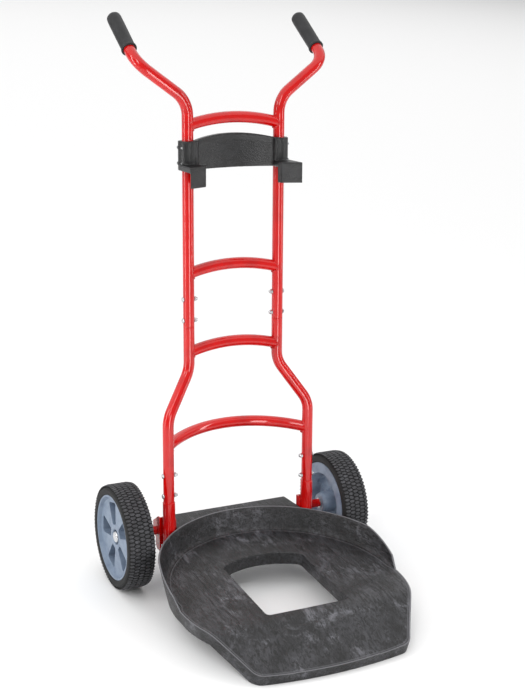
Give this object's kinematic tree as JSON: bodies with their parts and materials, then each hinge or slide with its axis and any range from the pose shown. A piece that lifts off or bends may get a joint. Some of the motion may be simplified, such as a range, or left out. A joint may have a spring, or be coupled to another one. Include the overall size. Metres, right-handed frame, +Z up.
{
  "type": "hand truck",
  "caption": "Two-wheeled hand truck for round containers: leaning tubular frame, moulded tray with a curved back wall, and a cradle with two rests.",
  "frame": {"origin": "on the floor, under the middle of the truck's bounding box", "axes": "+Z up, +Y from the tray's nose towards the handles, +X across the truck along the axle"},
  "size_m": [0.6054, 0.7615, 1.2599],
  "materials": {
    "red_enamel": "gloss",
    "zinc_steel": "zinc plated",
    "tray_plastic": "moulded, satin",
    "cradle_plastic": "pebbled",
    "hub_plastic": "satin",
    "bush_nylon": "satin",
    "grip_rubber": "matte",
    "tyre": "matte"
  },
  "bodies": {
    "truck": {"axle_bracket_left": "red_enamel", "axle_bracket_right": "red_enamel", "axle_cap_left": "zinc_steel", "axle_cap_right": "zinc_steel", "axle_sleeve_left": "red_enamel", "axle_sleeve_right": "red_enamel", "cradle": "cradle_plastic", "cradle_clamp_left": "cradle_plastic", "cradle_clamp_right": "cradle_plastic", "cradle_screws": "zinc_steel", "fourth_crossbar": "red_enamel", "grip_left": "grip_rubber", "grip_right": "grip_rubber", "inner_washer_left": "zinc_steel", "inner_washer_right": "zinc_steel", "lower_joint_bolts": "zinc_steel", "lower_joint_nuts": "zinc_steel", "lower_tube_left": "red_enamel", "lower_tube_right": "red_enamel", "outer_washer_left": "zinc_steel", "outer_washer_right": "zinc_steel", "second_crossbar": "red_enamel", "stub_axle_left": "zinc_steel", "stub_axle_right": "zinc_steel", "stub_tube_left": "red_enamel", "stub_tube_right": "red_enamel", "third_crossbar": "red_enamel", "top_crossbar": "red_enamel", "tray": "tray_plastic", "tray_bolts": "zinc_steel", "tray_nuts": "zinc_steel", "upper_joint_bolts": "zinc_steel", "upper_joint_nuts": "zinc_steel", "upper_tube_left": "red_enamel", "upper_tube_right": "red_enamel"},
    "wheel_left": {"wheel_hub_left": "hub_plastic", "tyre_left": "tyre", "wheel_bushes_left": "bush_nylon"},
    "wheel_right": {"wheel_hub_right": "hub_plastic", "tyre_right": "tyre", "wheel_bushes_right": "bush_nylon"}
  },
  "joints": [
    {"name": "wheel_left_spin", "type": "hinge", "parent": "truck", "child": "wheel_left", "pos_m": [-0.2709, 0.14937, 0.12], "axis": [1, 0, 0], "continuous": true},
    {"name": "wheel_right_spin", "type": "hinge", "parent": "truck", "child": "wheel_right", "pos_m": [0.2709, 0.14937, 0.12], "axis": [1, 0, 0], "continuous": true}
  ]
}
